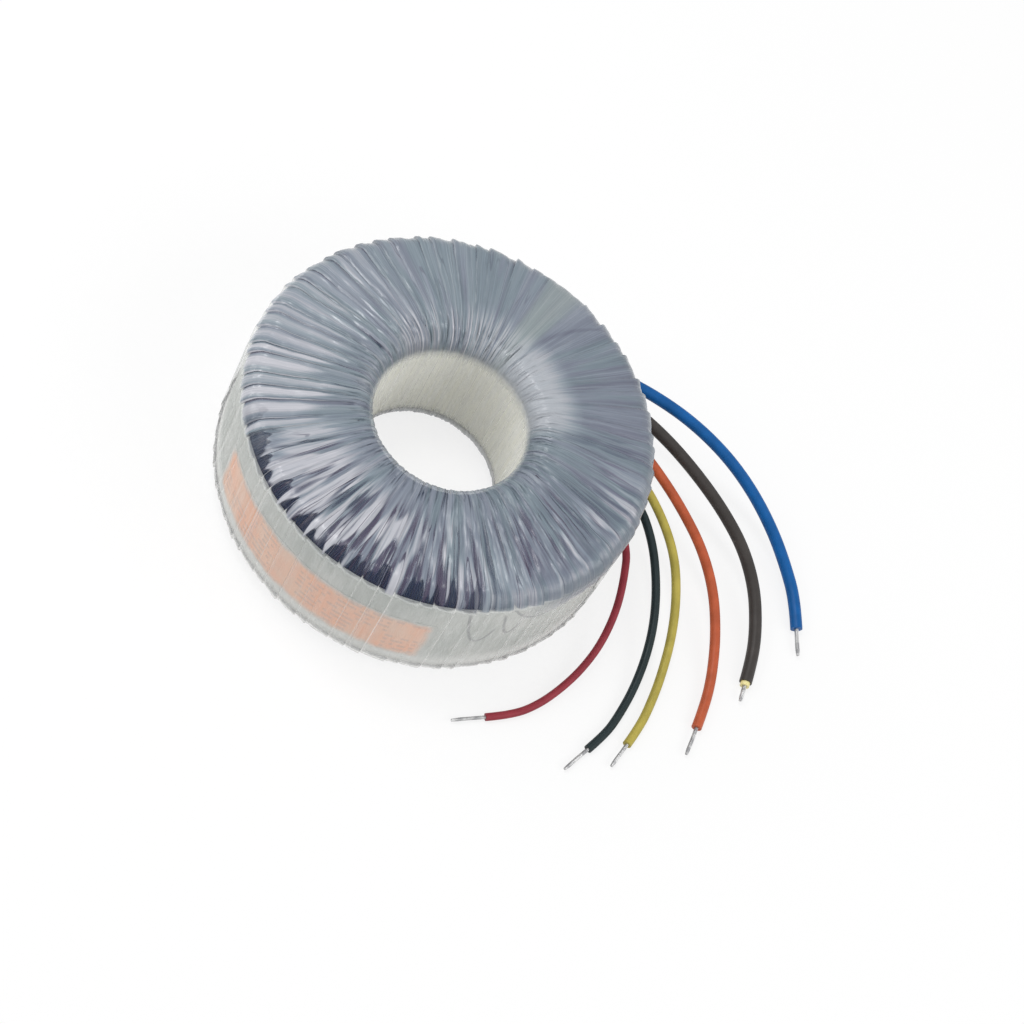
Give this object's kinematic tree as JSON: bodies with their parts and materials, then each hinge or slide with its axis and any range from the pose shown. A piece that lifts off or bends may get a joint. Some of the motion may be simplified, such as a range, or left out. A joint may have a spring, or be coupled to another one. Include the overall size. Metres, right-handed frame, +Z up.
{
  "type": "toroidal transformer",
  "caption": "Ring-shaped mains transformer in a pleated clear film wrap, with an open central bore and coloured flying leads laid out to one side.",
  "frame": {"origin": "centre of the ring's underside, on the axis of its bore", "axes": "+Z up along the bore axis; the label faces -Y and the leads leave towards +X"},
  "size_m": [0.1433, 0.0954, 0.035],
  "materials": {
    "steel_strip": "rolled strip edge",
    "cap_moulding": "moulded",
    "enamelled_wire": "dark enamelled copper wire",
    "insulating_film": "clear film",
    "pale_tape": "satin tape",
    "cream_sleeve": "satin sleeve",
    "label_paper": "matt",
    "clear_film": "glossy clear film",
    "tinned_copper": "tinned",
    "inner_insulation": "satin",
    "blue_insulation": "satin insulation",
    "brown_insulation": "satin insulation",
    "orange_insulation": "satin insulation",
    "yellow_insulation": "satin insulation",
    "black_insulation": "satin insulation",
    "red_insulation": "satin insulation"
  },
  "bodies": {
    "root": {"core": "steel_strip", "core_cap_upper": "cap_moulding", "core_cap_lower": "cap_moulding", "primary_winding": "enamelled_wire", "interwinding_wrap": "insulating_film", "secondary_inner_winding": "enamelled_wire", "secondary_outer_winding": "enamelled_wire", "side_band": "pale_tape", "bore_liner": "cream_sleeve", "label": "label_paper", "outer_wrap": "clear_film", "blue_splice": "tinned_copper", "blue_lead": "blue_insulation", "blue_lead_tip": "tinned_copper", "brown_splice": "tinned_copper", "brown_lead": "brown_insulation", "brown_lead_tip": "tinned_copper", "orange_splice": "tinned_copper", "orange_lead": "orange_insulation", "orange_lead_tip": "tinned_copper", "yellow_splice": "tinned_copper", "yellow_lead": "yellow_insulation", "yellow_lead_tip": "tinned_copper", "black_splice": "tinned_copper", "black_lead": "black_insulation", "black_lead_tip": "tinned_copper", "red_splice": "tinned_copper", "red_lead": "red_insulation", "red_lead_tip": "tinned_copper", "brown_lead_sleeve": "inner_insulation"}
  },
  "joints": []
}
